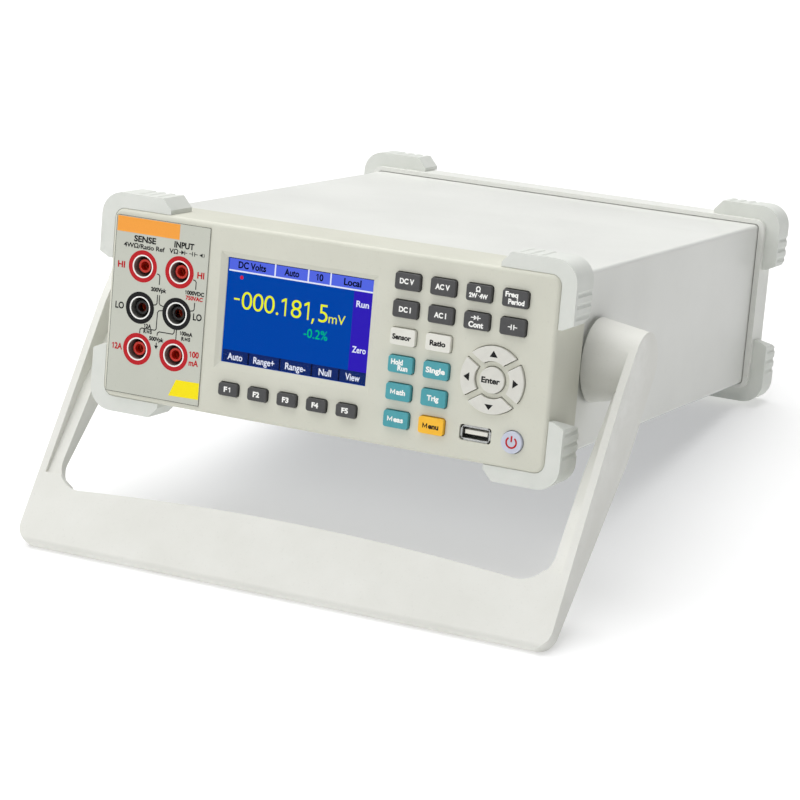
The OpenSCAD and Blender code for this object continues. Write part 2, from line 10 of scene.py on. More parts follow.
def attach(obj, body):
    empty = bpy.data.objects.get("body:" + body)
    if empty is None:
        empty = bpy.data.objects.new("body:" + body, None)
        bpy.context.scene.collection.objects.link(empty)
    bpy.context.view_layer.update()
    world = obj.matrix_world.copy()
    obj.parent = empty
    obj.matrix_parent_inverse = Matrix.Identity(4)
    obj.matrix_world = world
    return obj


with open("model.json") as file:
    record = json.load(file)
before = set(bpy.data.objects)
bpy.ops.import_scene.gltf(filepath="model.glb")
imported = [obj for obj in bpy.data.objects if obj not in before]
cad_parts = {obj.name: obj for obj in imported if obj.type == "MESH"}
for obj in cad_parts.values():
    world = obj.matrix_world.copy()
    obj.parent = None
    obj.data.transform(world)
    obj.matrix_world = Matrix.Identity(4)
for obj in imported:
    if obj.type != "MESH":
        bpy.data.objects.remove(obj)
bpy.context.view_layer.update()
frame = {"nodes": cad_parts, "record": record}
NODES = frame["nodes"]
SLOT_OF = {part["node"]: part["material_slot"] for part in frame["record"]["subparts"]}
MM = 0.001

# The case frame is the instrument's own and is tilted back in the row frame. Lengths below are
# in millimetres in the case frame.
TILT = math.radians(11.2)
CASE_ORIGIN = Vector((0, -129.0128, 62.9033)) * MM
CASE = Matrix.Translation(CASE_ORIGIN) @ Matrix.Rotation(-TILT, 4, "X") @ Matrix.Scale(MM, 4)
# On the panel, local X runs right, local Y up, and local Z out towards the user.
PANEL = CASE @ Matrix.Rotation(math.radians(90), 4, "X")
# The middle of the right socket of the middle row, and the spacing of all six
SOCKET_X, SOCKET_Z, SOCKET_PITCH = -74.1, 43, 19.05


# ---------------------------------------------------------------- camera, light and world

def look(location, forward, right):
    """A camera's matrix from where it stands and two of its directions."""
    forward, right = Vector(forward).normalized(), Vector(right).normalized()
    up = right.cross(forward)
    turn = Matrix((right, up, -forward)).transposed().to_4x4()
    return Matrix.Translation(location) @ turn


camera = bpy.data.objects.new("camera", bpy.data.cameras.new("camera"))
bpy.context.scene.collection.objects.link(camera)
camera.matrix_world = look(
    location=(0.5729, -1.2275, 0.5622),
    forward=(-0.4048, 0.8395, -0.3627),
    right=(0.9005, 0.4348, 0.0013),
)
camera.data.sensor_width = 36
camera.data.lens = 135.2
camera.data.shift_x = -0.0034
camera.data.shift_y = -0.0035
bpy.context.scene.camera = camera


def area_light(name, place, aim, size, power):
    """A rectangular softbox that faces a point. Sizes are in metres and power in watts."""
    data = bpy.data.lights.new(name, "AREA")
    data.shape = "RECTANGLE"
    data.size, data.size_y = size
    data.energy = power
    light = bpy.data.objects.new(name, data)
    light.location = place
    light.rotation_euler = (Vector(aim) - Vector(place)).to_track_quat("-Z", "Y").to_euler()
    bpy.context.scene.collection.objects.link(light)


area_light("top_softbox", (-0.5, 0.3, 2.2), (0, 0.1, 0), (3.2, 3.2), 76)
area_light("front_softbox", (-0.5, -1.7, 0.9), (0, -0.1, 0.08), (1.4, 1.0), 10)
area_light("back_softbox", (0.1, 2.2, 0.8), (0, 0.1, 0.08), (1.4, 1.0), 5)

world = bpy.data.worlds.new("studio")
world.use_nodes = True
background = world.node_tree.nodes["Background"].inputs
background["Color"].default_value = (0.97, 0.98, 1, 1)
background["Strength"].default_value = 0.19
bpy.context.scene.world = world
bpy.context.scene.view_settings.view_transform = "Standard"


# ---------------------------------------------------------------- materials

def colour(red, green, blue):
    """A linear colour from 0 to 255 sRGB values."""
    def linear(value):
        value /= 255
        return value / 12.92 if value <= 0.04045 else ((value + 0.055) / 1.055) ** 2.4
    return (linear(red), linear(green), linear(blue), 1)


class Surface:
    """A node material in the making. Its coordinates are the row frame's, in metres."""

    def __init__(self, name):
        self.material = bpy.data.materials.new(name)
        self.material.use_nodes = True
        self.tree = self.material.node_tree
        self.shader = self.tree.nodes["Principled BSDF"]
        self.place = self.tree.nodes.new("ShaderNodeTexCoord").outputs["Object"]

    def set(self, **values):
        """Sets the shader's own sockets. An underscore stands for a space in a socket's name."""
        for key, value in values.items():
            self.shader.inputs[key.replace("_", " ")].default_value = value

    def add(self, kind, inputs=None, **settings):
        """A new node. Inputs are other nodes' sockets or plain values."""
        node = self.tree.nodes.new(kind)
        for key, value in settings.items():
            setattr(node, key, value)
        for key, value in (inputs or {}).items():
            if isinstance(value, bpy.types.NodeSocket):
                self.tree.links.new(value, node.inputs[key])
            else:
                node.inputs[key].default_value = value
        return node

    def link(self, output, name):
        """Feeds one of the shader's own sockets."""
        self.tree.links.new(output, self.shader.inputs[name])

    def noise(self, scale, detail, rough=0.55, place=None):
        """Fractal noise from 0 to 1, with about this many features to the metre."""
        return self.add("ShaderNodeTexNoise", {
            "Vector": place or self.place, "Scale": scale, "Detail": detail, "Roughness": rough,
        }).outputs["Fac"]

    def remap(self, value, low, high, start, end):
        """A value's range carried over to another range, and held inside it."""
        return self.add("ShaderNodeMapRange", {
            "Value": value, "From Min": low, "From Max": high, "To Min": start, "To Max": end,
        }).outputs["Result"]

    def math(self, operation, first, second=0.0, third=0.0):
        """One step of arithmetic."""
        inputs = {0: first, 1: second, 2: third}
        return self.add("ShaderNodeMath", inputs, operation=operation).outputs[0]

    def mix(self, factor, first, second):
        """From the first colour at 0 to the second at 1. Sockets 6, 7 and 2 are the colour ones."""
        inputs = {0: factor, 6: first, 7: second}
        return self.add("ShaderNodeMix", inputs, data_type="RGBA").outputs[2]

    def bump(self, height, distance, strength, normal=None):
        """A normal from a height in metres, laid over another one if given."""
        inputs = {"Height": height, "Distance": distance, "Strength": strength}
        if normal is not None:
            inputs["Normal"] = normal
        return self.add("ShaderNodeBump", inputs).outputs["Normal"]

    def edges(self, low=0.52, high=0.6):
        """1 along worn outer edges, 0 elsewhere."""
        geometry = self.add("ShaderNodeNewGeometry")
        return self.remap(geometry.outputs["Pointiness"], low, high, 0, 1)

    def case_place(self):
        """Coordinates in the case frame, in metres."""
        inputs = {0: self.place, 1: CASE_ORIGIN}
        moved = self.add("ShaderNodeVectorMath", inputs, operation="SUBTRACT").outputs[0]
        return self.add("ShaderNodeMapping", {"Vector": moved, "Rotation": (TILT, 0, 0)}).outputs[0]


def moulded(name, tint, shade, rough=0.48, grain=3200, depth=0.00003, wear=None):
    """Spark-eroded moulded plastic: fine grain, faint mottling, polished high edges."""
    s = Surface(name)
    mottle = s.remap(s.noise(38, 4), 0.3, 0.7, 0, 1)
    base = s.mix(mottle, colour(*tint), colour(*shade))
    speck = s.remap(s.noise(900, 2), 0.62, 0.78, 0, 0.35)
    base = s.mix(speck, base, colour(*[c * 0.93 for c in shade]))
    if wear:
        worn = s.math("MULTIPLY", s.edges(), s.remap(s.noise(140, 3), 0.35, 0.65, 0.2, 0.8))
        base = s.mix(worn, base, colour(*wear))
    s.link(base, "Base Color")
    s.link(s.remap(s.noise(60, 5), 0.3, 0.7, rough - 0.05, rough + 0.07), "Roughness")
    coarse = s.bump(s.noise(grain * 0.25, 2), depth * 1.2, 0.5)
    s.link(s.bump(s.noise(grain, 2, 0.6), depth, 0.8, coarse), "Normal")
    return s.material


def painted(name, tint, shade):
    """Powder-coated sheet: orange-peel bump and a little handling dust."""
    s = Surface(name)
    patch = s.remap(s.noise(9, 5, 0.6), 0.35, 0.65, 0, 1)
    dust = s.remap(s.noise(1500, 2), 0.68, 0.8, 0, 0.3)
    base = s.mix(patch, colour(*tint), colour(*shade))
    s.link(s.mix(dust, base, colour(*[c * 0.9 for c in shade])), "Base Color")
    s.link(s.remap(s.noise(25, 4), 0.3, 0.7, 0.34, 0.48), "Roughness")
    peel = s.bump(s.noise(520, 2, 0.45), 0.00005, 0.55)
    s.link(s.bump(s.noise(2600, 1), 0.000012, 0.5, peel), "Normal")
    return s.material


def metal(name, tint, shade, rough, grain=(260, 260, 2600), metallic=1.0):
    """Plated or drawn metal with fine directional scratches and slight tarnish."""
    s = Surface(name)
    s.set(Metallic=metallic)
    stretched = s.add("ShaderNodeMapping", {"Vector": s.place, "Scale": grain}).outputs[0]
    streak = s.noise(1, 4, 0.6, stretched)
    tarnish = s.remap(s.noise(180, 4), 0.35, 0.7, 0, 1)
    s.link(s.mix(tarnish, colour(*tint), colour(*shade)), "Base Color")
    s.link(s.remap(streak, 0.3, 0.7, rough - 0.08, rough + 0.12), "Roughness")
    s.link(s.bump(streak, 0.00001, 0.6), "Normal")
    return s.material


def ink(name, tint):
    """Screen-printed ink of a faintly uneven density."""
    s = Surface(name)
    density = s.remap(s.noise(1400, 3), 0.3, 0.75, 0, 0.16)
    darker = [c * 0.86 + 4 for c in tint]
    s.link(s.mix(density, colour(*tint), colour(*darker)), "Base Color")
    s.link(s.remap(s.noise(500, 2), 0.3, 0.7, 0.37, 0.5), "Roughness")
    s.link(s.bump(s.noise(2400, 1), 0.000008, 0.5), "Normal")
    s.set(Specular_IOR_Level=0.25)
    return s.material


def key_plastic(name, tint, shade, rough=0.42):
    """Satin key caps: faint clouding, lighter edges and a very fine grain."""
    s = Surface(name)
    s.set(Coat_Weight=0.06, Coat_Roughness=0.35)
    cloud = s.remap(s.noise(260, 4), 0.3, 0.7, 0, 1)
    base = s.mix(cloud, colour(*tint), colour(*shade))
    lighter = [min(255, c * 1.16 + 14) for c in tint]
    base = s.mix(s.math("MULTIPLY", s.edges(), 0.35), base, colour(*lighter))
    s.link(base, "Base Color")
    s.link(s.remap(s.noise(320, 3), 0.3, 0.7, rough - 0.07, rough + 0.09), "Roughness")
    s.link(s.bump(s.noise(4200, 2, 0.6), 0.000012, 0.7), "Normal")
    return s.material


def lit(name, tint):
    """A lit display colour with the faint dark grid between its pixels."""
    s = Surface(name)
    place = s.case_place()

    def stripes(scale, way):
        inputs = {"Vector": place, "Scale": scale, "Distortion": 0.0}
        wave = s.add("ShaderNodeTexWave", inputs, bands_direction=way, wave_profile="SIN")
        return wave.outputs["Fac"]

    pixels = s.math("MULTIPLY", stripes(2300.0, "X"), stripes(1150.0, "Z"))
    grid = s.remap(pixels, 0, 1, 0.12, 0)
    s.link(s.mix(grid, colour(*tint), colour(*[c * 0.6 for c in tint])), "Emission Color")
    s.set(Emission_Strength=1.0, Base_Color=(0.002, 0.002, 0.003, 1))
    s.set(Roughness=0.6, Specular_IOR_Level=0.0)
    return s.material


def board(name):
    """Green solder mask over copper tracks, with tinned pads."""
    s = Surface(name)
    place = s.case_place()
    cells = s.add("ShaderNodeTexBrick", {
        "Vector": place, "Scale": 120.0, "Mortar Size": 0.03,
        "Brick Width": 0.6, "Row Height": 0.22,
    }).outputs["Fac"]
    pads = s.add("ShaderNodeTexVoronoi", {"Vector": place, "Scale": 210.0}).outputs["Distance"]
    pad = s.remap(pads, 0.1, 0.14, 1, 0)
    mask = s.mix(cells, colour(22, 92, 52), colour(38, 126, 70))
    s.link(s.mix(pad, mask, colour(200, 200, 196)), "Base Color")
    s.link(pad, "Metallic")
    s.link(s.remap(pad, 0, 1, 0.32, 0.22), "Roughness")
    s.link(s.bump(cells, 0.00003, 0.4), "Normal")
    return s.material


def jack_plastic(name, sleeve, well, rim):
    """Socket housings: one colour for the sleeve, one for the well's wall and one for its rim.

    Places are wrapped by the sockets' spacing, so that one pattern serves all of them.
    """
    s = Surface(name)
    place = s.add("ShaderNodeSeparateXYZ", {0: s.case_place()})
    half = SOCKET_PITCH * MM / 2
    across = s.math("WRAP", s.math("SUBTRACT", place.outputs[0], SOCKET_X * MM), half, -half)
    up = s.math("WRAP", s.math("SUBTRACT", place.outputs[2], SOCKET_Z * MM), half, -half)
    squares = s.math("ADD", s.math("MULTIPLY", across, across), s.math("MULTIPLY", up, up))
    outer = s.remap(s.math("SQRT", squares), 0.0039, 0.0041, 0, 1)
    front = s.math("LESS_THAN", place.outputs[1], 0.0)
    # The well colour covers the well's wall and the housing around it. It is painted light: it is
    # set lighter than the housing's plastic to stand in for the light that hardly reaches into the
    # deep well.
    base = s.mix(outer, colour(*sleeve), colour(*well))
    base = s.mix(s.math("MULTIPLY", front, outer), base, colour(*rim))
    scuff = s.remap(s.noise(700, 4), 0.55, 0.75, 0, 0.2)
    s.link(s.mix(scuff, base, colour(150, 130, 125)), "Base Color")
    s.link(s.remap(s.noise(400, 3), 0.3, 0.7, 0.2, 0.36), "Roughness")
    s.link(s.bump(s.noise(2500, 2), 0.00001, 0.5), "Normal")
    return s.material


def rubber(name, tint, shade):
    """Soft moulded rubber: rubbed patches, scuffed edges and a fine grain."""
    s = Surface(name)
    s.set(Sheen_Weight=0.12, Sheen_Roughness=0.5)
    rub = s.remap(s.noise(70, 5, 0.6), 0.3, 0.7, 0, 1)
    base = s.mix(rub, colour(*tint), colour(*shade))
    scuffs = s.math("MULTIPLY", s.edges(0.53, 0.62), s.remap(s.noise(210, 4), 0.45, 0.62, 0, 0.5))
    s.link(s.mix(scuffs, base, colour(*[c * 0.86 for c in shade])), "Base Color")
    s.link(s.remap(s.noise(90, 4), 0.3, 0.7, 0.5, 0.66), "Roughness")
    s.link(s.bump(s.noise(1700, 3, 0.65), 0.00004, 0.7), "Normal")
    return s.material


def window_glass(name):
    """Clear window sheet that hardly bends light, with faint smears."""
    s = Surface(name)
    s.set(Transmission_Weight=1.0, IOR=1.12, Base_Color=(0.96, 0.97, 1.0, 1))
    s.link(s.remap(s.noise(240, 4), 0.4, 0.75, 0.0, 0.035), "Roughness")
    s.link(s.bump(s.noise(120, 2), 0.000004, 0.3), "Normal")
    return s.material


# One finish for each material slot. Colours are 0 to 255 sRGB.
MATERIALS = {
    "bezel_plastic": moulded(
        "bezel_plastic", (215, 215, 201), (210, 210, 196), wear=(230, 230, 219),
    ),
    "overlay_film": moulded(
        "overlay_film", (200, 202, 190), (196, 198, 186), 0.38, 5200, 0.000012,
    ),
    "window": window_glass("window"),
    "lcd": lit("lcd", (0, 70, 170)),
    "silicone": rubber("silicone", (138, 142, 146), (126, 130, 134)),
    "circuit_board": board("circuit_board"),
    # The red sockets' second colour, for the well's wall, is painted light: a pale grey, lighter
    # than the plastic, for the light that hardly reaches into the well.
    "red_plastic": jack_plastic(
        "red_plastic", (208, 44, 28), (150, 126, 122), (246, 242, 234),
    ),
    "black_plastic": moulded(
        "black_plastic", (30, 31, 33), (26, 27, 29), 0.4, 3600, 0.00002, wear=(52, 53, 55),
    ),
    "white_plastic": moulded(
        "white_plastic", (240, 238, 228), (228, 226, 216), 0.4, 4000, 0.00001,
    ),
    "contact_metal": metal(
        "contact_metal", (255, 104, 44), (240, 82, 30), 0.34, metallic=0.15,
    ),
    "plated_steel": metal("plated_steel", (205, 206, 204), (176, 178, 178), 0.26),
    "dark_key": key_plastic("dark_key", (70, 70, 71), (63, 63, 64)),
    "light_key": key_plastic("light_key", (232, 231, 222), (225, 224, 214), 0.46),
    "teal_key": key_plastic("teal_key", (72, 162, 172), (64, 154, 165)),
    "amber_key": key_plastic("amber_key", (255, 196, 40), (250, 184, 28)),
    "power_key": key_plastic("power_key", (202, 206, 222), (192, 197, 214), 0.35),
    "cover_paint": painted("cover_paint", (228, 229, 224), (222, 223, 218)),
    "tray_steel": metal("tray_steel", (190, 194, 196), (165, 170, 172), 0.4, (300, 2400, 300)),
    "core_steel": metal("core_steel", (112, 114, 118), (86, 84, 84), 0.5, (4200, 300, 300)),
    "coil_tape": moulded("coil_tape", (176, 112, 44), (150, 88, 34), 0.35, 900, 0.00002),
    "tin_plate": metal("tin_plate", (204, 208, 212), (182, 186, 190), 0.3),
    "rear_panel_paint": painted("rear_panel_paint", (217, 217, 210), (208, 208, 201)),
    "bumper_rubber": rubber("bumper_rubber", (224, 226, 220), (217, 220, 213)),
    "hub_plastic": moulded("hub_plastic", (176, 178, 172), (166, 168, 162), 0.5),
    "handle_plastic": moulded(
        "handle_plastic", (228, 228, 222), (222, 222, 215), 0.46, 2600, wear=(238, 238, 233),
    ),
}
# Printed on top of the finishes
ink_black = ink("ink_black", (6, 6, 8))
ink_red = ink("ink_red", (190, 18, 30))
ink_white = ink("ink_white", (252, 252, 248))
ink_orange = ink("ink_orange", (250, 165, 65))
ink_yellow = ink("ink_yellow", (255, 234, 0))


# ---------------------------------------------------------------- CAD nodes: finish and edges

KEYS = [
    "dc_volts_key", "ac_volts_key", "ohms_key", "frequency_key", "dc_current_key",
    "ac_current_key", "continuity_key", "capacitance_key", "sensor_key", "ratio_key",
    "hold_key", "single_key", "math_key", "trigger_key", "measure_key", "menu_key",
]
SOFT_KEYS = [f"soft_key_{i}" for i in range(1, 6)]
ARROWS = ["nav_right", "nav_up", "nav_left", "nav_down"]

# Nodes that look different from the rest of their material slot
OWN_LOOKS = {
    # The black sockets' well colour, a mid grey, is painted light: lighter than their black
    # plastic, for the light that hardly reaches into the well.
    "black_jacks": jack_plastic(
        "black_jack_plastic", (18, 19, 20), (118, 118, 114), (246, 242, 234),
    ),
    "rear_bezel": moulded(
        "rear_bezel_plastic", (228, 229, 223), (223, 224, 218), wear=(238, 238, 233),
    ),
}
ring_key = key_plastic("ring_key", (220, 219, 210), (213, 212, 203), 0.46)
OWN_LOOKS.update(dict.fromkeys(ARROWS + ["enter_key"], ring_key))


def mesh_nodes(name):
    """An empty geometry node tree that takes in a mesh and gives one out."""
    tree = bpy.data.node_groups.new(name, "GeometryNodeTree")
    tree.interface.new_socket("Geometry", in_out="INPUT", socket_type="NodeSocketGeometry")
    tree.interface.new_socket("Geometry", in_out="OUTPUT", socket_type="NodeSocketGeometry")
    return tree, tree.nodes.new("NodeGroupInput"), tree.nodes.new("NodeGroupOutput")


def smoothing(limit):
    """Geometry nodes that shade smooth, apart from edges sharper than a limit in degrees."""
    tree, start, end = mesh_nodes(f"smooth_below_{limit}")
    faces = tree.nodes.new("GeometryNodeSetShadeSmooth")
    edges = tree.nodes.new("GeometryNodeSetShadeSmooth")
    edges.domain = "EDGE"
    angle = tree.nodes.new("GeometryNodeInputMeshEdgeAngle")
    gentle = tree.nodes.new("FunctionNodeCompare")
    gentle.operation = "LESS_THAN"
    gentle.inputs[1].default_value = math.radians(limit)
    tree.links.new(start.outputs[0], faces.inputs["Geometry"])
    tree.links.new(faces.outputs[0], edges.inputs["Geometry"])
    tree.links.new(angle.outputs["Unsigned Angle"], gentle.inputs[0])
    tree.links.new(gentle.outputs[0], edges.inputs["Shade Smooth"])
    tree.links.new(edges.outputs[0], end.inputs[0])
    return tree


def fillet_weights():
    """Geometry nodes that weight the front bezel's edges for its bevel.

    The outer edge of its front face gets 1, its other sharp edges little, the rest nothing.
    """
    rim_x, rim_z, middle_z = 104.9 * MM, 38.4 * MM, 43.5 * MM
    sharp_from, small = math.radians(32), 0.12
    tree, start, end = mesh_nodes("fillet_weights")
    add, link = tree.nodes.new, tree.links.new

    def maths(operation, first, second=0.0):
        node = add("ShaderNodeMath")
        node.operation = operation
        for socket, value in zip(node.inputs, (first, second)):
            if isinstance(value, bpy.types.NodeSocket):
                link(value, socket)
            else:
                socket.default_value = value
        return node.outputs[0]

    turn = add("ShaderNodeVectorRotate")
    turn.rotation_type = "X_AXIS"
    turn.inputs["Center"].default_value = CASE_ORIGIN
    turn.inputs["Angle"].default_value = TILT
    link(add("GeometryNodeInputPosition").outputs[0], turn.inputs["Vector"])
    split = add("ShaderNodeSeparateXYZ")
    link(turn.outputs[0], split.inputs[0])
    side = maths("SUBTRACT", maths("ABSOLUTE", split.outputs[0]), rim_x)
    level = maths("ABSOLUTE", maths("SUBTRACT", split.outputs[2], CASE_ORIGIN.z + middle_z))
    rim = maths("MAXIMUM", side, maths("SUBTRACT", level, rim_z))
    depth = maths("ABSOLUTE", maths("SUBTRACT", split.outputs[1], CASE_ORIGIN.y))
    outer = maths("MULTIPLY", maths("GREATER_THAN", rim, 0.0), maths("LESS_THAN", depth, 0.0001))
    angle = add("GeometryNodeInputMeshEdgeAngle").outputs["Unsigned Angle"]
    sharp = maths("GREATER_THAN", angle, sharp_from)
    share = maths("ADD", small, maths("MULTIPLY", outer, 1 - small))
    store = add("GeometryNodeStoreNamedAttribute")
    store.domain = "EDGE"
    store.data_type = "FLOAT"
    store.inputs["Name"].default_value = "fillet"
    link(maths("MULTIPLY", sharp, share), store.inputs["Value"])
    link(start.outputs[0], store.inputs["Geometry"])
    link(store.outputs[0], end.inputs[0])
    return tree


SMOOTH = smoothing(38)
CRISP = smoothing(21)


def dress(node, piece):
    """Gives a CAD node its finish through its own material slots."""
    slot = SLOT_OF[node]
    if not piece.material_slots:
        piece.data.materials.append(MATERIALS[slot])
    for place in piece.material_slots:
        place.link = "OBJECT"
        place.material = OWN_LOOKS.get(node, MATERIALS[slot])


def soften(node, width, segments, weights=None, shading=SMOOTH):
    """Rounds a CAD node's sharp edges with modifiers; its own mesh stays as it is."""
    piece = NODES[node]
    piece.modifiers.new("weld", "WELD").merge_threshold = 0.000002
    flat = piece.modifiers.new("flat", "DECIMATE")
    flat.decimate_type = "DISSOLVE"
    flat.angle_limit = math.radians(0.6)
    if weights:
        piece.modifiers.new("weights", "NODES").node_group = weights
    round_off = piece.modifiers.new("round_off", "BEVEL")
    round_off.width = width * MM
    round_off.segments = segments
    round_off.use_clamp_overlap = weights is None
    round_off.loop_slide = weights is None
    round_off.miter_outer = "MITER_ARC"
    if weights:
        round_off.limit_method = "WEIGHT"
        round_off.edge_weight = "fillet"
    else:
        round_off.limit_method = "ANGLE"
        round_off.angle_limit = math.radians(30)
    piece.modifiers.new("smooth", "NODES").node_group = shading
    normals = piece.modifiers.new("normals", "WEIGHTED_NORMAL")
    normals.keep_sharp = True


for node, piece in NODES.items():
    dress(node, piece)

# How far the sharp edges are rounded, in how many segments, and on which nodes
for width, segments, nodes in (
    (0.55, 4, KEYS + SOFT_KEYS),
    (0.4, 3, ARROWS + ["enter_key", "power_button"]),
    (0.3, 2, ["rear_bezel", "top_cover"]),
    (2.2, 4, ["front_bumpers", "rear_bumpers"]),
    (1.4, 4, ["handle"]),
    (0.15, 2, ["terminal_overlay", "red_jacks", "black_jacks", "usb_tongue", "hub_plates",
               "mains_inlet", "rocker_frame", "mains_rocker", "serial_socket", "usb_b_socket",
               "inlet_pins"]),
    (0.1, 2, ["usb_shell", "jack_contacts", "jack_nuts", "rear_panel", "case_screws",
              "board_screws", "pivot_pins"]),
):
    for node in nodes:
        soften(node, width, segments)
soften("front_bezel", 1.9, 5, fillet_weights(), CRISP)


# ---------------------------------------------------------------- printed graphics

# How deep behind the panel's face each print lies; negative stands proud of it
FILM_PRINT = -0.43
KEY_PRINT = -2.03
RING_PRINT = -1.53
SCREEN_FIELD = 3.046
SCREEN_PRINT = 3.042


def glyphs(text, size, bold):
    """The mesh of a line of text, 1 unit to the millimetre, starting at the origin."""
    data = bpy.data.curves.new("glyphs", "FONT")
    data.body = text
    data.size = size
    data.offset = bold
    data.resolution_u = 4
    holder = bpy.data.objects.new("glyphs", data)
    bpy.context.scene.collection.objects.link(holder)
    graph = bpy.context.evaluated_depsgraph_get()
    mesh = bpy.data.meshes.new_from_object(holder.evaluated_get(graph))
    bpy.data.objects.remove(holder)
    bpy.data.curves.remove(data)
    return mesh


def cap_height():
    """The height of a capital letter of size 1."""
    mesh = glyphs("H", 1.0, 0.0)
    tall = max(v.co.y for v in mesh.vertices)
    bpy.data.meshes.remove(mesh)
    return tall


CAP = cap_height()


class Print:
    """Flat printed shapes on the panel, gathered into one piece.

    X runs right and Z up, in case millimetres. Each shape returns the print, to add the next.
    """

    def __init__(self, depth):
        self.depth = depth
        self.mesh = bmesh.new()

    def area(self, points):
        """A filled outline."""
        corners = [self.mesh.verts.new((x, z, -self.depth)) for x, z in points]
        face = self.mesh.faces.new(corners)
        face.normal_update()
        if face.normal.z < 0:
            face.normal_flip()
        return self

    def strip(self, x0, x1, z0, z1):
        """A filled rectangle."""
        return self.area([(x0, z0), (x1, z0), (x1, z1), (x0, z1)])

    def ring(self, x, z, outer, inner, start=0.0, turn=360.0, steps=72):
        """A ring or part of one, from an angle in degrees on."""
        def point(radius, i):
            a = math.radians(start + turn * i / steps)
            return (x + radius * math.cos(a), z + radius * math.sin(a))
        for i in range(steps):
            self.area([point(inner, i), point(outer, i), point(outer, i + 1), point(inner, i + 1)])
        return self

    def disc(self, x, z, radius, steps=32):
        """A filled circle."""
        turns = [2 * math.pi / steps * i for i in range(steps)]
        return self.area([(x + radius * math.cos(a), z + radius * math.sin(a)) for a in turns])

    def line(self, points, width, closed=False):
        """A line of even width with mitred corners."""
        here = [Vector(p) for p in points]
        count = len(here)
        left, right = [], []
        for i, p in enumerate(here):
            before = p - here[i - 1] if i or closed else None
            after = here[(i + 1) % count] - p if i < count - 1 or closed else None
            ways = [w.normalized() for w in (before, after) if w is not None]
            way = sum(ways, Vector((0, 0))).normalized()
            side = Vector((-way.y, way.x))
            reach = width / 2 / max(0.3, side.dot(Vector((-ways[0].y, ways[0].x))))
            left.append(p + side * reach)
            right.append(p - side * reach)
        for i in range(count if closed else count - 1):
            j = (i + 1) % count
            self.area([right[i], right[j], left[j], left[i]])
        return self

    def text(self, words, x, z, tall, wide, bold=0.14):
        """Words centred on x and z and fitted to a width.

        The figure 1 and the letter M are built of strokes; all else is set in the font.
        """
        drawn_width = {"1": 0.42 * tall, "M": 1.0 * tall}
        pieces = []
        for run in filter(None, re.split("([1M])", words)):
            mesh = None if run in drawn_width else glyphs(run, tall / CAP, bold)
            edges = [v.co.x for v in mesh.vertices] if mesh else (0, drawn_width[run])
            pieces.append((run, mesh, min(edges), max(edges) - min(edges)))
        gap = tall * 0.19
        squeeze = wide / (sum(piece[3] for piece in pieces) + gap * (len(pieces) - 1))
        left, base, top = x - wide / 2, z - tall / 2, z + tall / 2
        pen = tall * 0.11 + 1.4 * bold
        for run, mesh, low, width in pieces:
            right = left + width * squeeze
            if mesh:
                place = Matrix.Translation((left, base, -self.depth))
                place = place @ Matrix.Diagonal((squeeze, 1, 1, 1))
                mesh.transform(place @ Matrix.Translation((-low, 0, 0)))
                self.mesh.from_mesh(mesh)
                bpy.data.meshes.remove(mesh)
            elif run == "1":
                flag = top - 0.2 * tall
                self.strip(right - pen, right, base, top)
                self.area([(right - pen, top), (left, flag), (left, flag - pen),
                           (right - pen, top - pen)])
            else:
                self.strip(left, left + pen, base, top).strip(right - pen, right, base, top)
                self.line([(left + pen / 2, top - pen / 3),
                           ((left + right) / 2, base + 0.22 * tall),
                           (right - pen / 2, top - pen / 3)], pen * 0.9)
            left = right + gap * squeeze
        return self

    def done(self, name, body, material, slot):
        """Makes the piece."""
        data = bpy.data.meshes.new(name)
        self.mesh.transform(PANEL)
        self.mesh.to_mesh(data)
        self.mesh.free()
        data.materials.append(material)
        piece = bpy.data.objects.new(name, data)
        bpy.context.scene.collection.objects.link(piece)
        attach(piece, body)


# Terminal overlay
SOCKETS = [
    (SOCKET_X - SOCKET_PITCH * column, SOCKET_Z + SOCKET_PITCH * row)
    for row in (1, 0, -1) for column in (0, 1)
]
BLACK_SOCKETS = (2, 3)
orange = Print(FILM_PRINT).strip(-107.7, -75.3, 76.7, 83.7)
orange.done("overlay_orange", "instrument", ink_orange, "overlay_film")
yellow = Print(FILM_PRINT).area([(-75.4, 5.2), (-59.9, 5.6), (-59.9, 13.2), (-71.9, 13.0)])
yellow.done("overlay_yellow", "instrument", ink_yellow, "overlay_film")

red, white, black = Print(FILM_PRINT), Print(FILM_PRINT), Print(FILM_PRINT)
for i, (x, z) in enumerate(SOCKETS):
    (black if i in BLACK_SOCKETS else red).ring(x, z, 7.35, 5.32)
    white.ring(x, z, 5.3, 4.72)
# Words, where their middle is, their height and width, and their weight where it isn't the usual
for words in (
    ("HI", -104.3, 61.6, 2.7, 3.8), ("HI", -63.1, 62.1, 2.7, 3.6),
    ("12A", -103.7, 23.9, 2.7, 5.4), ("100", -63.6, 25.8, 2.6, 5.0),
    ("mA", -63.6, 21.9, 2.6, 4.9), ("750VAC", -65.6, 51.2, 1.7, 8.8, 0.12),
):
    red.text(*words)
for words in (
    ("SENSE", -92.9, 74.3, 2.6, 11.4), ("4WΩ/Ratio Ref", -93.1, 71.0, 2.0, 21.3, 0.08),
    ("INPUT", -72.6, 74.4, 2.6, 10.2), ("VΩ", -77.8, 71.2, 2.0, 4.6, 0.08),
    ("LO", -103.8, 42.8, 2.9, 4.5, 0.13), ("LO", -63.3, 43.0, 2.9, 4.5, 0.13),
    ("200Vpk", -84.1, 52.5, 1.7, 8.0, 0.12), ("1000VDC", -65.6, 53.6, 1.7, 9.8, 0.12),
    ("12A", -88.5, 35.2, 1.7, 3.9, 0.12), ("RMS", -88.3, 32.7, 1.6, 4.4, 0.12),
    ("500Vpk", -83.5, 29.9, 1.7, 7.6, 0.12), ("100mA", -68.4, 34.6, 1.7, 6.6, 0.12),
    ("RMS", -68.4, 32.2, 1.6, 4.6, 0.12),
):
    black.text(*words)
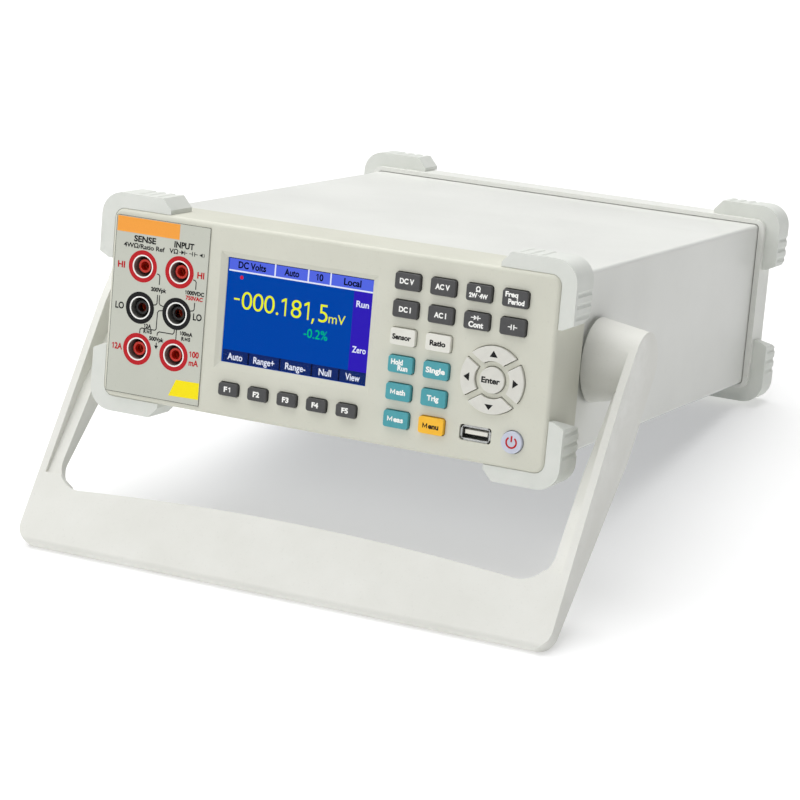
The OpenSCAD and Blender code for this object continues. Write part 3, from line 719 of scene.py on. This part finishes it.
# Lines from the sockets to their ratings
for route in (
    [(-85.6, 59.7), (-84.5, 59.5), (-84.0, 58.8), (-84.0, 54.9)],
    [(-86.3, 45.3), (-85.1, 45.5), (-84.5, 46.2), (-84.5, 50.2)],
    [(-83.4, 50.2), (-83.4, 46.6), (-82.8, 45.8), (-81.0, 45.3)],
    [(-66.8, 59.7), (-65.8, 59.5), (-65.2, 58.8), (-65.2, 55.4)],
    [(-65.2, 49.4), (-65.2, 46.4), (-65.8, 45.6), (-67.1, 45.4)],
    [(-81.3, 43.4), (-83.2, 43.1), (-83.9, 42.2), (-84.0, 34.6), (-84.6, 33.9), (-91.5, 33.9),
     (-92.3, 33.2), (-92.4, 31.3)],
    [(-74.6, 35.9), (-74.6, 34.4), (-75.3, 33.5), (-82.4, 33.5), (-83.2, 32.8), (-83.3, 31.6)],
    [(-73.5, 35.8), (-73.5, 30.9)],
    [(-83.4, 28.4), (-83.4, 26.6)],
):
    black.line(route, 0.46)
# The arrow to ground, then the diode, the capacitor and the sounder, then the film's border
black.area([(-84.4, 27.0), (-82.4, 27.0), (-83.4, 25.3)])
black.line([(-75.0, 71.2), (-73.9, 71.2)], 0.3).line([(-72.0, 71.2), (-70.8, 71.2)], 0.3)
black.area([(-73.9, 70.2), (-73.9, 72.2), (-72.2, 71.2)])
black.line([(-72.1, 70.2), (-72.1, 72.2)], 0.36)
black.line([(-69.8, 71.2), (-68.2, 71.2)], 0.3).line([(-66.9, 71.2), (-65.4, 71.2)], 0.3)
black.line([(-68.1, 70.2), (-68.1, 72.2)], 0.4).line([(-67.0, 70.2), (-67.0, 72.2)], 0.4)
black.area([(-64.6, 71.2), (-62.9, 70.3), (-62.9, 72.1)])
black.ring(-63.4, 71.2, 1.5, 1.2, -38, 76, 12)
border = [(-108.05, 2.65), (-59.65, 2.65), (-59.65, 84.05), (-108.05, 84.05)]
black.line(border, 0.18, closed=True)
red.done("overlay_red_print", "instrument", ink_red, "overlay_film")
white.done("socket_white_rings", "instrument", ink_white, "overlay_film")
black.done("overlay_black_print", "instrument", ink_black, "overlay_film")

# Key legends: words, where their middle is, and their height and width
LEGENDS = {
    "dc_volts_key": [("DC V", 39.15, 74.5, 2.2, 6.9)],
    "ac_volts_key": [("AC V", 56.2, 74.5, 2.2, 6.9)],
    "ohms_key": [("Ω", 73.0, 76.0, 2.1, 2.2), ("2W  4W", 73.3, 73.2, 1.8, 8.8)],
    "frequency_key": [("Freq", 88.7, 76.1, 2.1, 6.0), ("Period", 91.1, 73.0, 2.1, 7.6)],
    "dc_current_key": [("DC I", 39.3, 62.1, 2.2, 5.7)],
    "ac_current_key": [("AC I", 56.2, 62.1, 2.2, 5.8)],
    "continuity_key": [("Cont", 73.3, 60.6, 2.3, 7.0)],
    "capacitance_key": [],
    "sensor_key": [("Sensor", 38.9, 49.8, 2.2, 9.0)],
    "ratio_key": [("Ratio", 56.2, 49.7, 2.2, 7.6)],
    "hold_key": [("Hold", 37.7, 38.7, 2.2, 5.7), ("Run", 40.6, 36.2, 2.2, 4.9)],
    "single_key": [("Single", 56.3, 37.7, 2.3, 9.2)],
    "math_key": [("Math", 39.3, 25.5, 2.2, 7.2)],
    "trigger_key": [("Trig", 56.2, 25.4, 2.2, 5.7)],
    "measure_key": [("Meas", 39.2, 13.3, 2.2, 7.7)],
    "menu_key": [("Menu", 56.3, 13.0, 2.2, 7.7)],
}
for key in KEYS:
    legend = Print(KEY_PRINT)
    for words in LEGENDS[key]:
        legend.text(*words)
    if key == "ohms_key":
        legend.disc(73.3, 73.4, 0.2, 12)
    if key == "continuity_key":
        legend.line([(70.7, 63.6), (75.3, 63.6)], 0.4).line([(74.0, 62.6), (74.0, 64.6)], 0.5)
        legend.area([(72.1, 62.5), (73.8, 63.6), (72.1, 64.7)])
    if key == "capacitance_key":
        for side in (-1, 1):
            legend.line([(90.4 + 0.6 * side, 60.9), (90.4 + 0.6 * side, 63.2)], 0.5)
            legend.line([(90.4 + 0.6 * side, 62.05), (90.4 + 2.2 * side, 62.05)], 0.4)
    on_pale = SLOT_OF[key] in ("light_key", "amber_key")
    legend.done(key + "_legend", key, ink_black if on_pale else ink_white, SLOT_OF[key])
for i, key in enumerate(SOFT_KEYS):
    legend = Print(KEY_PRINT).text(f"F{i + 1}", -44.7 + 14.8 * i, 13.1, 2.2, 3.3)
    legend.done(key + "_legend", key, ink_white, "dark_key")
TRIANGLES = {
    "nav_up": [(80.9, 47.7), (84.7, 47.7), (82.6, 50.6)],
    "nav_left": [(72.2, 39.5), (72.2, 35.7), (69.5, 37.5)],
    "nav_right": [(92.7, 39.4), (92.7, 35.6), (95.3, 37.7)],
    "nav_down": [(80.5, 26.9), (84.5, 26.9), (82.6, 24.5)],
}
for key, corners in TRIANGLES.items():
    Print(RING_PRINT).area(corners).done(key + "_legend", key, ink_black, "light_key")
enter = Print(RING_PRINT).text("Enter", 82.4, 37.4, 2.4, 8.8)
enter.done("enter_legend", "enter_key", ink_black, "light_key")
power = Print(RING_PRINT).ring(94.6, 12.1, 2.75, 1.95, 124, 292, 48)
power.line([(94.6, 12.3), (94.6, 15.0)], 0.8)
power.done("power_legend", "power_button", ink_red, "power_key")

# Display picture behind the window: its fields, then the prints and a painted shadow band on them,
# a hair in front
LEFT, RIGHT = -50.7, 21.7
HEADER_LOW, HEADER_TOP = 66.6, 72.3
CELLS_LOW, CELLS_TOP = 24.7, 30.3
for name, glow, tint, sides in (
    ("screen_header", "lit_header", (88, 108, 232), (LEFT, RIGHT, HEADER_LOW, HEADER_TOP)),
    ("screen_column", "lit_column", (50, 30, 186), (12.0, RIGHT, CELLS_TOP, 65.9)),
    ("screen_cells", "lit_cells", (20, 42, 104), (LEFT, RIGHT, CELLS_LOW, CELLS_TOP)),
):
    Print(SCREEN_FIELD).strip(*sides).done(name, "instrument", lit(glow, tint), "lcd")

HALF_LINE = 0.35
lines = Print(SCREEN_PRINT).strip(LEFT, RIGHT, 66.0, 66.7)
for x in (-27.6, -11.0, 0.1):
    lines.strip(x - HALF_LINE, x + HALF_LINE, 66.7, HEADER_TOP)
lines.done("screen_lines", "instrument", lit("lit_lines", (236, 240, 255)), "lcd")

dark = Print(SCREEN_PRINT)
for x in (-37.7, -21.8, -5.8, 7.8):
    dark.strip(x - HALF_LINE, x + HALF_LINE, CELLS_LOW, CELLS_TOP)
for words, x, wide in (
    ("DC Volts", -39.2, 14.0), ("Auto", -19.3, 7.4), ("10", -5.4, 3.6), ("Local", 10.9, 8.6),
):
    dark.text(words, x, 69.3, 2.9, wide)
# Painted shadow: the dark band along the header's top stands for the shade cast by the window
# recess's upper edge. A thin dark band also runs down the screen's right edge.
dark.strip(LEFT, RIGHT, 71.8, HEADER_TOP).strip(RIGHT - HALF_LINE, RIGHT, CELLS_LOW, 71.8)
dark.done("screen_dark_print_and_painted_shadow", "instrument", lit("lit_dark", (2, 5, 26)), "lcd")

pale = Print(SCREEN_PRINT)
for words, x, wide in (
    ("Auto", -44.5, 7.6), ("Range+", -29.8, 10.6), ("Range-", -13.9, 10.2),
    ("Null", 0.9, 6.2), ("View", 14.6, 7.2),
):
    pale.text(words, x, 27.4, 2.9, wide, 0.08)
pale.text("Run", 16.6, 60.4, 2.7, 6.2, 0.08).text("Zero", 16.6, 40.0, 2.7, 6.8, 0.08)
pale.done("screen_white_print", "instrument", lit("lit_white", (238, 242, 255)), "lcd")

# The reading: its sign, the font's figures, two figures 1 as strokes, point, comma and unit
reading = Print(SCREEN_PRINT)
reading.strip(-47.2, -44.3, 53.3, 54.1)
for figure, x, wide in (
    ("0", -40.6, 5.3), ("0", -34.9, 5.3), ("0", -29.2, 5.3), ("8", -15.7, 5.2), ("5", -2.2, 4.4),
):
    reading.text(figure, x, 53.6, 8.0, wide, -0.05)
for x in (-21.1, -9.7):
    reading.strip(x - 0.4, x + 0.4, 49.6, 57.6)
    reading.area([(x - 0.4, 57.6), (x - 2.1, 56.6), (x - 2.1, 55.5), (x - 0.4, 56.3)])
reading.disc(-25.1, 50.1, 0.62)
reading.area([(-7.4, 50.6), (-6.4, 50.6), (-7.2, 48.2), (-7.9, 48.2)])
reading.text("mV", 4.7, 51.9, 4.2, 8.2, 0.0)
reading.done("screen_reading", "instrument", lit("lit_yellow", (244, 250, 30)), "lcd")
percent = Print(SCREEN_PRINT).text("-0.2%", -5.2, 43.7, 4.0, 11.8, 0.0)
percent.done("screen_percent", "instrument", lit("lit_green", (0, 214, 110)), "lcd")
dot = Print(SCREEN_PRINT).disc(-44.1, 63.7, 0.85)
dot.done("screen_dot", "instrument", lit("lit_red", (214, 30, 66)), "lcd")


# ---------------------------------------------------------------- floor

floor_mesh = bpy.data.meshes.new("floor")
floor_data = bmesh.new()
bmesh.ops.create_circle(floor_data, cap_ends=True, segments=96, radius=9.0)
floor_data.to_mesh(floor_mesh)
floor_data.free()
floor = bpy.data.objects.new("floor", floor_mesh)
bpy.context.scene.collection.objects.link(floor)
paper = Surface("paper")
paper.link(paper.mix(paper.noise(3, 3), colour(214, 214, 214), colour(219, 219, 219)), "Base Color")
paper.link(paper.remap(paper.noise(40, 3), 0.3, 0.7, 0.8, 0.9), "Roughness")
paper.set(Emission_Color=(1, 1, 1, 1), Emission_Strength=0.36, Specular_IOR_Level=0.2)
floor_mesh.materials.append(paper.material)
